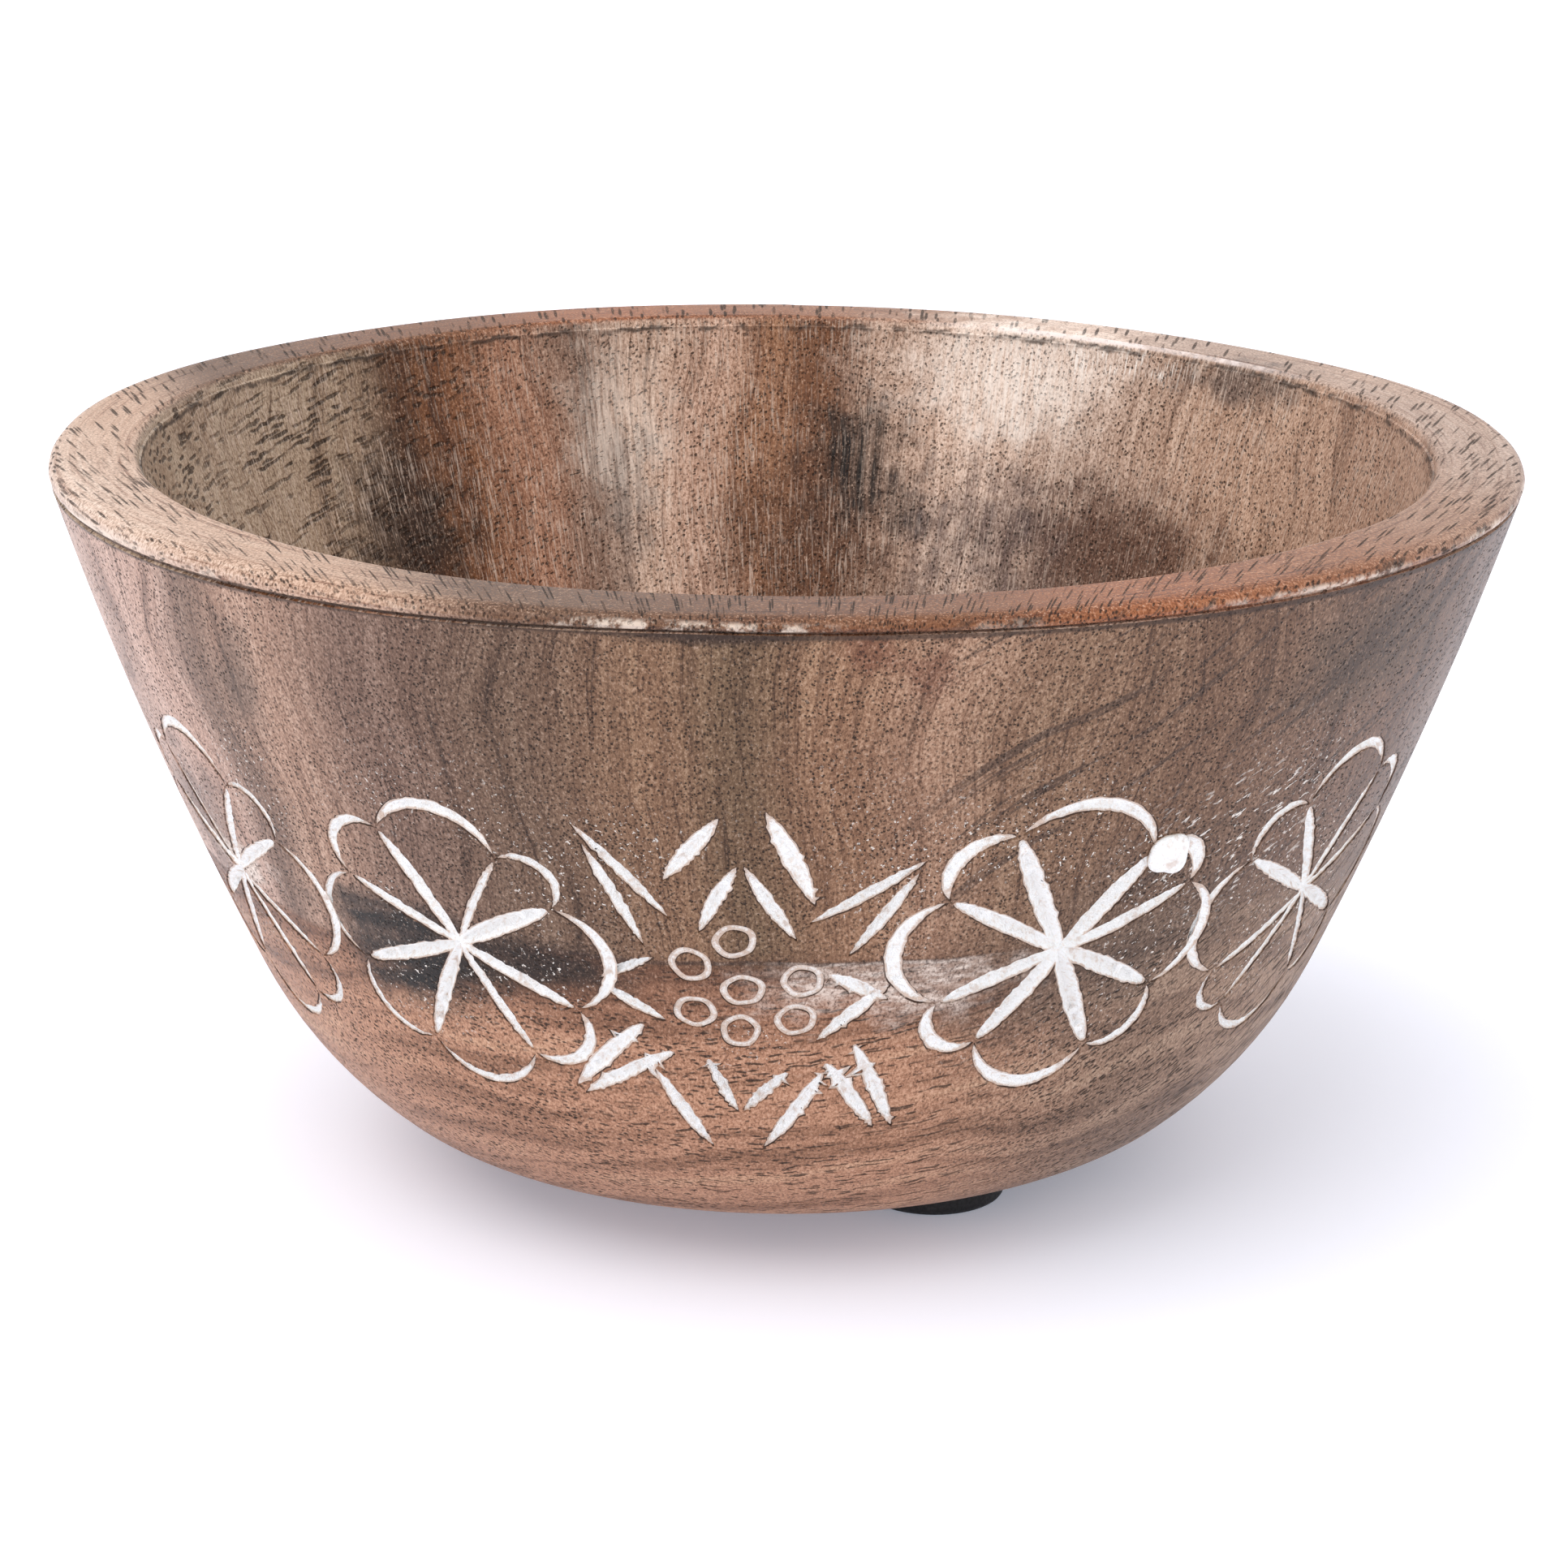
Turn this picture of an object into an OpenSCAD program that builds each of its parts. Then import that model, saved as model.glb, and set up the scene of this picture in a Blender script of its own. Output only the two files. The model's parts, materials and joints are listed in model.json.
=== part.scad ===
// Turned wooden bowl with a hand-carved band of flowers and bursts, their cuts brushed with white
// paint, standing on three stick-on rubber feet. Millimetres, +Z up. The bowl's axis is the Z axis,
// the table is z = 0, and the middle of the carved front faces -Y.

/* [Bowl] */
// Radius of the flat base
base_r = 34; // [32:0.5:36]
// Radius of the round corner between the base and the belly
corner_r = 17; // [15:0.5:19]
// Radius of the belly, above the corner
belly_r = 45; // [42:1:48]
// Radius of the nearly straight wall, above the belly
wall_r = 440; // [400:10:500]
// Lean of the surface from upright where the corner meets the belly
corner_lean = 50; // [47:1:53]
// Lean of the surface from upright where the belly meets the wall
belly_lean = 24.5; // [23:0.5:26]
// Lean of the surface from upright where the wall meets the rim
rim_lean = 17.5; // [17:0.1:18.5]
// Thickness of the wood
wood_t = 9; // [7:0.5:10]
// Radius of the inside corner between the floor and the wall
inside_corner_r = 16; // [12:1:18]
// Radius of the rounding on the outer edge of the rim
rim_outer_r = 1.8; // [1:0.1:2]
// Radius of the rounding on the inner edge of the rim
rim_inner_r = 1.2; // [0.8:0.1:1.6]

/* [Carving] */
// Number of carved motifs round the bowl, in threes of one burst and two flowers
motif_count = 12; // [9:3:12]
// Height of the flowers' centres, measured up the wall from the top of the belly
flower_up = 16.5; // [15:0.5:18]
// Height of the bursts' centres, measured the same way
burst_up = 14.5; // [13.5:0.5:16]
// Width of a long straight cut
cut_w = 2.2; // [1.6:0.1:2.4]
// Width of a petal's cut at its middle
petal_w = 1.5; // [1.1:0.1:1.7]
// Depth of a long straight cut
cut_depth = 1.3; // [1:0.1:1.6]
// Depth of a petal's cut
petal_depth = 1; // [0.8:0.1:1.2]
// Thickness of the paint along the bottom of a cut
paint_t = 0.3; // [0.2:0.05:0.4]
// Outer diameter of a drilled ring
ring_d = 4.8; // [4:0.1:5]

/* [Feet] */
// Diameter of a rubber foot
foot_d = 15; // [12:0.5:15]
// Height of a foot with its adhesive, which lifts the wood off the table
foot_h = 4; // [3:0.5:5]
// Thickness of a foot's adhesive disc
adhesive_t = 0.2; // [0.1:0.05:0.3]
// Distance of a foot's centre from the bowl's axis
foot_at_r = 26; // [20:0.5:26]

/* [Hidden] */
$fn = 96;
FLOWERS = 2 * motif_count / 3;
BURSTS = motif_count / 3;
FEET = 3;

foot_turn = 36;             // first foot's angle round the bowl from the front, to the right
foot_edge_r = 0.8;          // rounding on a foot's lower edge
adhesive_inset = 0.5;       // how far the adhesive disc stops short of the foot's edge
lip = 0.2;                  // upright edge at the top of each cut, above the vee
proud = 1;                  // how far a cutter stands out of the wood
pitch = 360 / motif_count;  // angle from one motif to the next

// ---- the bowl's outline, as three arcs that meet smoothly ----
// Each arc is [centre radius, centre height, arc radius]. A point on it is given by its lean.
corner_arc = [base_r, foot_h + corner_r, corner_r];
belly_arc = next_arc(corner_arc, belly_r, corner_lean);
wall_arc = next_arc(belly_arc, wall_r, belly_lean);
rim_outer_arc = next_arc(wall_arc, rim_outer_r, rim_lean);
rim_top = rim_outer_arc[1] + rim_outer_r;
inside_belly = shrink(belly_arc, wood_t);
inside_wall = shrink(wall_arc, wood_t);
inside_corner = next_arc(inside_belly, inside_corner_r, corner_lean);
// the inner rounding touches the rim's top and the inside wall
rim_inner_z = rim_top - rim_inner_r;
rim_inner_lean = asin((wall_arc[1] - rim_inner_z) / (inside_wall[2] + rim_inner_r));
rim_inner_x = wall_arc[0] + (inside_wall[2] + rim_inner_r) * cos(rim_inner_lean);

// the arc of another radius that meets arc a smoothly at a lean
function next_arc(a, r, lean) =
    [a[0] + (a[2] - r) * cos(lean), a[1] - (a[2] - r) * sin(lean), r];
function shrink(a, t) = [a[0], a[1], a[2] - t];
function on_arc(a, lean) = [a[0] + a[2] * cos(lean), a[1] - a[2] * sin(lean)];
function sweep(a, from, to, steps) =
    [for (i = [0:steps]) on_arc(a, from + (to - from) * i / steps)];

// ---- the outside of the bowl as a sheet to draw on ----
// up is the distance up the wall from the top of the belly, and below zero it runs down the belly
function lean_at(up) = belly_lean - up / (up > 0 ? wall_r : belly_r) * 180 / PI;
function arc_at(up) = up > 0 ? wall_arc : belly_arc;
function wall_radius(up) = on_arc(arc_at(up), lean_at(up))[0];
// A point at angle turn round the bowl and distance up, and height out of the wood
function on_bowl(turn, up, out = 0) =
    let (p = on_arc(shrink(arc_at(up), -out), lean_at(up)))
    [p[0] * sin(turn), -p[0] * cos(turn), p[1]];
// A motif is placed by m = [turn, up]. A point p = [across, along] is measured from its centre.
function on_motif(m, p, out) =
    on_bowl(m[0] + p[0] / wall_radius(m[1]) * 180 / PI, m[1] + p[1], out);

// ---- one cut: an outline of points, keel points inside it, and the faces between them ----
// A cut is [outline, keel, faces]. Faces run anticlockwise as seen from outside the bowl, and they
// number the outline's points first and the keel's points after them.
function backwards(f) = [for (i = [len(f) - 1:-1:0]) f[i]];
function shifted(faces, by) = [for (f = faces) [for (i = f) i + by]];

// the tool that cuts the wood: a vee with a short upright lip, standing proud of the bowl
module cutter(m, cut, depth) {
    n = len(cut[0]);
    k = len(cut[1]);
    vee = concat([for (p = cut[0]) on_motif(m, p, -lip)], [for (p = cut[1]) on_motif(m, p, -depth)]);
    top = [for (p = concat(cut[0], cut[1])) on_motif(m, p, proud)];
    sides = [for (i = [0:n - 1]) let (j = (i + 1) % n)
        each [[i, i + n + k, j + n + k], [i, j + n + k, j]]];
    polyhedron(
        points = concat(vee, top),
        faces = concat(cut[2], [for (f = shifted(cut[2], n + k)) backwards(f)], sides));
}

// the paint that lines the cut: thickest along the keel, and drawn out to nothing at the edges
module lining(m, cut, depth) {
    n = len(cut[0]);
    k = len(cut[1]);
    under = concat([for (p = cut[0]) on_motif(m, p, -lip)], [for (p = cut[1]) on_motif(m, p, -depth)]);
    over = [for (p = cut[1]) on_motif(m, p, paint_t - depth)];
    top_faces = [for (f = cut[2]) backwards([for (i = f) i < n ? i : i + k])];
    polyhedron(points = concat(under, over), faces = concat(cut[2], top_faces));
}

// A strip along a line of points: pointed at both ends, with a half width at each point between
function strip(line, half) =
    let (
        n = len(line) - 1,
        side = [for (i = [1:n - 1])
            let (d = line[i + 1] - line[i - 1], s = half[i] / norm(d)) [d[1] * s, -d[0] * s]],
        right = [for (i = [1:n - 1]) line[i] + side[i - 1]],
        left = [for (i = [n - 1:-1:1]) line[i] - side[i - 1]],
        keel = [for (i = [1:n - 1]) line[i]],
        last = 2 * n,
        faces = concat(
            [[0, 1, last], [n - 1, n, last + n - 2]],
            [for (i = [1:n - 2]) each [[last + i - 1, i, i + 1], [last + i - 1, i + 1, last + i]]],
            [[0, last, last - 1], [last + n - 2, n, n + 1]],
            [for (i = [1:n - 2]) each
                [[last + i - 1, last + i, last - i - 1], [last + i - 1, last - i - 1, last - i]]]))
    [concat([line[0]], right, [line[n]], left), keel, faces];

// a straight leaf-shaped cut from a to b
function leaf(a, b, w = cut_w) =
    strip([a, a + 0.35 * (b - a), a + 0.7 * (b - a), b], [0, w / 2, w / 2, 0]);

// ---- the flower: eight spokes in four pairs, and a petal between each two tips ----
spoke_len = 13.3;
spoke_spread = 16;          // half the angle between the two spokes of a pair
spoke_wide_at = 0.6;        // how far along its length a spoke is widest
petal_steps = 6;
// the petals are round arcs, [centre's distance, radius], wide between pairs and narrow inside one
wide_petal = [9.6, 6.9];
narrow_petal = [11.9, 4];
petal_half_angle = 61;

function spoke_angle(i) = 45 + 90 * floor(i / 2) + (i % 2 == 0 ? -spoke_spread : spoke_spread);
function polar(r, angle) = [r * cos(angle), r * sin(angle)];
function beside(r, angle, side) = polar(r, angle) + polar(side, angle + 90);

// the eight spokes as one star, joined at the centre
function star(turn) =
    let (
        half = cut_w / 2,
        notch = [for (i = [0:7])
            let (a = spoke_angle(i), b = i == 7 ? spoke_angle(0) + 360 : spoke_angle(i + 1))
            polar(0.85 * half / sin((b - a) / 2), (a + b) / 2 + turn)],
        outline = [for (i = [0:7]) let (a = spoke_angle(i) + turn) each
            [beside(spoke_wide_at * spoke_len, a, -half), polar(spoke_len, a),
             beside(spoke_wide_at * spoke_len, a, half), notch[i]]],
        keel = concat([for (i = [0:7]) polar(spoke_wide_at * spoke_len, spoke_angle(i) + turn)], [[0, 0]]),
        n = 32,
        faces = [for (i = [0:7]) let (o = 4 * i, k = n + i, before = (o + n - 1) % n) each
            [[n + 8, before, k], [before, o, k], [o, o + 1, k], [o + 1, o + 2, k],
             [o + 2, o + 3, k], [o + 3, n + 8, k]]])
    [outline, keel, faces];

function petal(middle, shape, turn) =
    let (
        line = [for (i = [0:petal_steps])
            let (t = 2 * i / petal_steps - 1)
            polar(shape[0], middle + turn) + polar(shape[1], middle + turn + t * petal_half_angle)],
        half = [for (i = [0:petal_steps])
            let (t = 2 * i / petal_steps - 1) petal_w / 2 * (1 - t * t)])
    strip(line, half);

function petals(turn) =
    [for (i = [0:3]) each [petal(90 * i, wide_petal, turn), petal(90 * i + 45, narrow_petal, turn)]];

// ---- the burst: leaf cuts thrown out round a cluster of drilled rings ----
upper_leaves = [
    leaf([-6, 8], [-14, 19]), leaf([-9, 5], [-13.5, 16]), leaf([-6.5, 12.5], [-1.5, 20.5]),
    leaf([-4, 7.5], [-0.5, 14.5]), leaf([4.5, 7.5], [1, 15]), leaf([7, 10.5], [2.5, 21.5]),
    leaf([8, 9], [17, 15.5]), leaf([9.5, 4], [15.5, 13.5])];
side_leaves = [
    leaf([-7.8, 3.4], [-13.2, 0.4], 1.6), leaf([-7.4, -4.4], [-13, -1], 1.8),
    leaf([8.6, 2.2], [14.2, -1], 1.8), leaf([7.5, -7], [14, -2])];
lower_leaves = [
    leaf([-10.5, -5.5], [-18, -14]), leaf([-9, -9.5], [-17.5, -16.5]), leaf([-8, -12], [-4, -21.5]),
    leaf([-4, -9.5], [-1.2, -16], 1.8), leaf([4.5, -10.5], [0, -16.5], 1.8),
    leaf([8, -11.5], [2, -22]), leaf([8.5, -10], [13.5, -19]), leaf([11.5, -8], [16.5, -19])];
burst_leaves = concat(upper_leaves, side_leaves, lower_leaves);
ring_spots = [[-0.4, 5.7], [-5, 2.8], [0.2, -0.2], [-4.8, -3.2], [-0.3, -5.8], [5.4, 1], [5, -4.4]];
ring_w = 0.8;
ring_depth = 0.6;

// ---- where the motifs go: burst, flower, flower, and again ----
// The spacing is judged by eye, so it creeps a little on the way round.
burst_creep = 1.2;
flower_creep = 2.2;
function burst_place(k) = [(3 * pitch + burst_creep) * (k - 1) - 4, burst_up];
// flowers 1 and 2 follow burst 1 to its right, and so on round the bowl
function flower_place(k) =
    let (pair = floor((k - 1) / 2), second = (k - 1) % 2)
    [(3 * pitch + flower_creep) * pair + (1 + second) * pitch - 6, flower_up + 0.4 * sin(110 * k)];
// each flower is turned a little, as hand work is
function flower_turn(k) = -3 + 3 * sin(75 * k);

// carries children from the table's frame onto the wood at a point of a motif, +Z out of the wood
module on_wood(m, p) {
    up = m[1] + p[1];
    rotate([0, 0, m[0] + p[0] / wall_radius(m[1]) * 180 / PI])
        translate([0, -wall_radius(up), on_bowl(0, up)[2]])
            rotate([90 + lean_at(up), 0, 0])
                children();
}

// ---- the blob of paint where a brush was lifted, at the tip of flower 1's spoke ----
blob_at = [9, 10.4];
blob_d = 4.2;
blob_sunk = 0.5;
blob_rise = 0.8;
module blob_pocket() {
    on_wood(flower_place(1), blob_at)
        translate([0, 0, -blob_sunk])
            cylinder(d = blob_d, h = blob_sunk + proud);
}

// ---- sub-parts ----
module ring_section(over) {
    inner = ring_d / 2 - ring_w;
    middle = (ring_d - ring_w) / 2;
    polygon(concat([[inner, -lip], [middle, -ring_depth], [ring_d / 2, -lip]], over));
}
module ring_cutter() {
    rotate_extrude()
        ring_section([[ring_d / 2, proud], [ring_d / 2 - ring_w, proud]]);
}
module ring_lining() {
    rotate_extrude()
        ring_section([[(ring_d - ring_w) / 2, paint_t - ring_depth]]);
}

module bowl_blank() {
    rotate_extrude()
        polygon(concat(
            [[0, foot_h]],
            sweep(corner_arc, 90, corner_lean, 8),
            sweep(belly_arc, corner_lean, belly_lean, 5),
            sweep(wall_arc, belly_lean, rim_lean, 4),
            sweep(rim_outer_arc, rim_lean, -90, 5),
            sweep([rim_inner_x, rim_inner_z, rim_inner_r], -90, -180 + rim_inner_lean, 4),
            sweep(inside_wall, rim_inner_lean, belly_lean, 4),
            sweep(inside_belly, belly_lean, corner_lean, 5),
            sweep(inside_corner, corner_lean, 90, 8),
            [[0, inside_corner[1] - inside_corner_r]]));
}

module bowl_body() {
    color("peru")
    difference() {
        bowl_blank();
        for (k = [1:FLOWERS]) {
            cutter(flower_place(k), star(flower_turn(k)), cut_depth);
            for (c = petals(flower_turn(k)))
                cutter(flower_place(k), c, petal_depth);
        }
        for (k = [1:BURSTS]) {
            for (c = burst_leaves)
                cutter(burst_place(k), c, cut_depth);
            for (p = ring_spots)
                on_wood(burst_place(k), p)
                    ring_cutter();
        }
        blob_pocket();
    }
}

module flower_paint(k) {
    color("ivory")
    difference() {
        union() {
            lining(flower_place(k), star(flower_turn(k)), cut_depth);
            for (c = petals(flower_turn(k)))
                lining(flower_place(k), c, petal_depth);
        }
        if (k == 1)
            blob_pocket();
    }
}

module burst_paint(k) {
    color("ivory")
    for (c = burst_leaves)
        lining(burst_place(k), c, cut_depth);
}

module ring_paint(k) {
    color("ivory")
    for (p = ring_spots)
        on_wood(burst_place(k), p)
            ring_lining();
}

module paint_blob() {
    dome_r = (pow(blob_d / 2, 2) + pow(blob_rise, 2)) / (2 * blob_rise);
    color("ivory")
    on_wood(flower_place(1), blob_at)
        intersection() {
            translate([0, 0, -blob_sunk])
                cylinder(d = blob_d, h = blob_sunk + blob_rise);
            translate([0, 0, blob_rise - dome_r])
                sphere(r = dome_r);
        }
}

// carries children to foot k's centre on the table
module at_foot(k) {
    rotate([0, 0, foot_turn + 360 / FEET * (k - 1)])
        translate([0, -foot_at_r, 0])
            children();
}

module foot_adhesive(k) {
    color("gainsboro")
    at_foot(k)
        translate([0, 0, foot_h - adhesive_t])
            cylinder(d = foot_d - 2 * adhesive_inset, h = adhesive_t);
}

module foot(k) {
    corner = [foot_d / 2 - foot_edge_r, foot_edge_r, foot_edge_r];
    top = foot_h - adhesive_t;
    color("dimgray")
    at_foot(k)
        rotate_extrude()
            polygon(concat([[0, 0]], sweep(corner, 90, 0, 4), [[foot_d / 2, top], [0, top]]));
}

bowl_body();
for (k = [1:FLOWERS])
    flower_paint(k);
for (k = [1:BURSTS])
    burst_paint(k);
for (k = [1:BURSTS])
    ring_paint(k);
paint_blob();
for (k = [1:FEET])
    foot_adhesive(k);
for (k = [1:FEET])
    foot(k);
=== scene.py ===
"""A turned wooden bowl with a carved and painted band, standing on three stick-on rubber feet."""
import json
import math
import random
from collections import namedtuple

import bmesh
import bpy
from mathutils import Matrix, Vector

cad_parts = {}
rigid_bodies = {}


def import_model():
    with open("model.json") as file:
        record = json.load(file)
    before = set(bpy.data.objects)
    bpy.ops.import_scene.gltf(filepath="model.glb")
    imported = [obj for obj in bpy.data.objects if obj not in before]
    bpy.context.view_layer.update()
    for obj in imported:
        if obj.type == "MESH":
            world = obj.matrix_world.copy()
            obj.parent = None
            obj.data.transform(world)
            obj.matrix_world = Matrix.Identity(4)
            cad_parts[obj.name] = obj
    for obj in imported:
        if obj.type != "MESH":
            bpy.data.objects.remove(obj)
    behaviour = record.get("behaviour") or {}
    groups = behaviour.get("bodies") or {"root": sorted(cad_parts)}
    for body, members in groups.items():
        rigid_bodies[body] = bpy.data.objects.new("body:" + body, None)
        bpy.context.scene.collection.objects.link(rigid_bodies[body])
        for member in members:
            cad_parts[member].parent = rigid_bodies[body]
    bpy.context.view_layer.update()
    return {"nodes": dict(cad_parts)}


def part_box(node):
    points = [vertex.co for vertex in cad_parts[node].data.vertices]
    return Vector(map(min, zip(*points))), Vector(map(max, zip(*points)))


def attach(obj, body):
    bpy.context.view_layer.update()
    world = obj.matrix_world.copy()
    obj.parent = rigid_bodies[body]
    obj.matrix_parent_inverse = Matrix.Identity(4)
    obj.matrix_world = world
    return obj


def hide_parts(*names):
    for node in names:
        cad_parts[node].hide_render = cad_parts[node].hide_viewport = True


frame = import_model()
mm = 0.001


# ---- The turned bowl ----
# One block of hardwood, turned on a lathe: a flat base, a round belly, a long leaning wall and a
# flat rim with a bead turned round its outer edge. It has dried a little out of true, so the rim
# isn't quite level.
base_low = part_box("bowl_body")[0].z
rim_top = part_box("bowl_body")[1].z
base_radius = 34 * mm
corner_radius = 17 * mm
belly_radius = 45 * mm
wall_radius = 440 * mm
inside_corner_radius = 16 * mm
corner_lean = math.radians(50)
belly_lean = math.radians(24.5)
rim_lean = math.radians(17.6)
wood_thickness = 9 * mm
bead_height = 2.6 * mm
groove = 0.3 * mm
rim_inner_radius = 1.1 * mm
spin_steps = 320

Arc = namedtuple("Arc", "x z radius")


def arc_meeting(arc, radius, lean):
    """The arc of another radius that meets this one smoothly where the surface has this lean."""
    away = arc.radius - radius
    return Arc(arc.x + away * math.cos(lean), arc.z - away * math.sin(lean), radius)


def point_on(arc, lean, out=0.0):
    """The point of an arc where it has this lean, moved out from the face."""
    reach = arc.radius + out
    return arc.x + reach * math.cos(lean), arc.z - reach * math.sin(lean)


def sweep(arc, start, end, steps, out=0.0):
    return [point_on(arc, start + (end - start) * i / steps, out) for i in range(steps + 1)]


corner = Arc(base_radius, base_low + corner_radius, corner_radius)
belly = arc_meeting(corner, belly_radius, corner_lean)
wall = arc_meeting(belly, wall_radius, belly_lean)
inside_wall = wall._replace(radius=wall.radius - wood_thickness)
inside_belly = belly._replace(radius=belly.radius - wood_thickness)
inside_corner = arc_meeting(inside_belly, inside_corner_radius, corner_lean)

bead_low = rim_top - bead_height
bead_lean = math.asin((wall.z - bead_low) / wall.radius)
bead_x = point_on(wall, bead_lean)[0]
# the groove, the round of the bead and the start of the flat rim, from below
bead = [
    (bead_x - groove, bead_low + 0.15 * mm),
    (bead_x - groove, bead_low + 0.35 * mm),
    (bead_x + 0.1 * mm, bead_low + 0.6 * mm),
    (bead_x + 0.25 * mm, bead_low + 1.1 * mm),
    (bead_x + 0.1 * mm, bead_low + 1.7 * mm),
    (bead_x - 0.4 * mm, bead_low + 2.25 * mm),
    (bead_x - 1.2 * mm, rim_top - 0.05 * mm),
    (bead_x - 2 * mm, rim_top),
]
inner_edge_z = rim_top - rim_inner_radius
inner_edge_lean = math.asin((wall.z - inner_edge_z) / (inside_wall.radius + rim_inner_radius))
inner_edge_x = wall.x + (inside_wall.radius + rim_inner_radius) * math.cos(inner_edge_lean)
inner_edge = Arc(inner_edge_x, inner_edge_z, rim_inner_radius)
edge_x, edge_z = point_on(inside_wall, inner_edge_lean)
# a small step that the tool left under the inner edge
tool_mark = [(edge_x - step * mm, edge_z - drop * mm)
             for step, drop in ((0.08, 0.25), (0.3, 0.4), (0.4, 0.9))]
outline = (
    [(0, base_low), (base_radius / 2, base_low)]
    + sweep(corner, math.pi / 2, corner_lean, 12)
    + sweep(belly, corner_lean, belly_lean, 9)[1:]
    + sweep(wall, belly_lean, bead_lean, 16)[1:]
    + bead
    + sweep(inner_edge, -math.pi / 2, -math.pi + inner_edge_lean, 6)
    + tool_mark
    + sweep(inside_wall, inner_edge_lean, belly_lean, 14)[1:]
    + sweep(inside_belly, belly_lean, corner_lean, 9)[1:]
    + sweep(inside_corner, corner_lean, math.pi / 2, 10)[1:]
    + [(0, inside_corner.z - inside_corner.radius)]
)


def turn_on_lathe(points, name):
    """Spins an outline, given as (distance from the axis, height), into a closed solid."""
    bm = bmesh.new()
    verts = [bm.verts.new((x, 0, z)) for x, z in points]
    edges = [bm.edges.new(pair) for pair in zip(verts, verts[1:])]
    bmesh.ops.spin(bm, geom=verts + edges, axis=(0, 0, 1), cent=(0, 0, 0),
                   angle=math.tau, steps=spin_steps, use_merge=True)
    bmesh.ops.remove_doubles(bm, verts=bm.verts, dist=0.001 * mm)
    return closed_mesh(bm, name)


def closed_mesh(bm, name):
    """Writes out a closed solid with its faces turned outward."""
    bmesh.ops.recalc_face_normals(bm, faces=bm.faces)
    if bm.calc_volume(signed=True) < 0:
        bmesh.ops.reverse_faces(bm, faces=bm.faces)
    mesh = bpy.data.meshes.new(name)
    bm.to_mesh(mesh)
    bm.free()
    return mesh


# the bead is widest at the left and narrow at the front; the rim tips down to the right
bead_at_front, bead_more_left, bead_more_right = 0.6, 0.4, 0.2
rim_tip = 0.0092
side_from, side_span = 10 * mm, 50 * mm
warp_from = 50 * mm
bead_blend_from = 60 * mm
bead_reach = 2.5 * mm


def bead_share(x):
    """How much of its full height the bead has, from left to right."""
    left = min(1, max(0, (-x - side_from) / side_span))
    right = min(1, max(0, (x - side_from) / side_span))
    return bead_at_front + bead_more_left * left + bead_more_right * right


def out_of_true(mesh):
    """Narrows the bead, and tips and waves the rim, by nothing low down and most at the top."""
    for v in mesh.vertices:
        x, y, z = v.co
        outer_face = v.co.xy.length > bead_x - bead_reach - (bead_low - min(z, bead_low)) * 0.5
        rise = max(0.0, (z - warp_from) / (rim_top - warp_from)) ** 2
        around = math.atan2(x, -y)
        if outer_face:
            narrow = bead_height * (1 - bead_share(x))
            if z > bead_low:
                v.co.z += narrow * (rim_top - z) / bead_height
            elif z > bead_blend_from:
                v.co.z += narrow * (z - bead_blend_from) / (bead_low - bead_blend_from)
        wave = 0.12 * math.sin(3 * around + 0.6) + 0.08 * math.sin(7 * around + 2)
        back_right = -0.7 * math.exp(-((math.degrees(around) - 142) / 24) ** 2)
        v.co.z += rise * (-rim_tip * x + (wave + back_right) * mm)


blank = turn_on_lathe(outline, "turned_bowl")
out_of_true(blank)
bowl = bpy.data.objects.new("turned_bowl", blank)
bpy.context.scene.collection.objects.link(bowl)


# ---- The carved band ----
# Eight flowers and four bursts of leaves, cut by eye with a vee gouge and drilled with a ring bit.
# Each cut is deepest and widest at its middle and runs out to a point. Across the grain, low on the
# bowl, the gouge has torn the wood and left splintered edges.

# sizes here are in millimetres, and angles in degrees
motif_pitch = 30
cut_depth = 1.3
leaf_depth = 0.85 * cut_depth
petal_width = 1.45
petal_depth = 0.9
spoke_length = 13.3
spoke_width = 2
spoke_spread = 16
stands_proud = 1.0
torn, very_torn = 0.12, 0.19
torn_length, very_torn_length = 2.6, 4
torn_end_fullness = 0.42

Cut = namedtuple("Cut", "path half_width depth fullness torn seed")
Motif = namedtuple("Motif", "turn up")


def lean_at(up):
    """The lean of the outer face at a distance up the wall from the top of the belly."""
    return belly_lean - up / (wall if up > 0 else belly).radius


def on_bowl(turn, up, out):
    """A point on the outer face, out from the wood, at an angle from the front in degrees."""
    x, z = point_on(wall if up > 0 else belly, lean_at(up), out)
    turn = math.radians(turn)
    return Vector((x * math.sin(turn), -x * math.cos(turn), z))


def on_motif(motif, across, along, out):
    """The same, in millimetres across and up from a motif's centre."""
    radius = on_bowl(0, motif.up * mm, 0).xy.length
    turn = motif.turn + math.degrees(across * mm / radius)
    return on_bowl(turn, (motif.up + along) * mm, out * mm)


def polar(length, angle):
    return Vector((length * math.cos(math.radians(angle)), length * math.sin(math.radians(angle))))


def straight(start, end, bow=0.0):
    """A path from start to end. t runs from -1 to 1, and gives a point and the way across."""
    start, end = Vector(start), Vector(end)
    way = (end - start).normalized()
    across = Vector((-way.y, way.x))

    def path(t):
        return start.lerp(end, (t + 1) / 2) + across * bow * (1 - t * t), across
    return path


def arched(start, end, rise):
    """A round arc from start to end that rises this far from the straight line, to its right."""
    start, end = Vector(start), Vector(end)
    half = (end - start).length / 2
    way = (end - start).normalized()
    side = Vector((way.y, -way.x))
    radius = (half * half + rise * rise) / (2 * rise)
    centre = (start + end) / 2 + side * (rise - radius)
    reach = math.asin(min(1.0, half / radius))
    if rise > half:
        reach = math.pi - reach

    def path(t):
        direction = side * math.cos(t * reach) + way * math.sin(t * reach)
        return centre + direction * radius, direction
    return path


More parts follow.
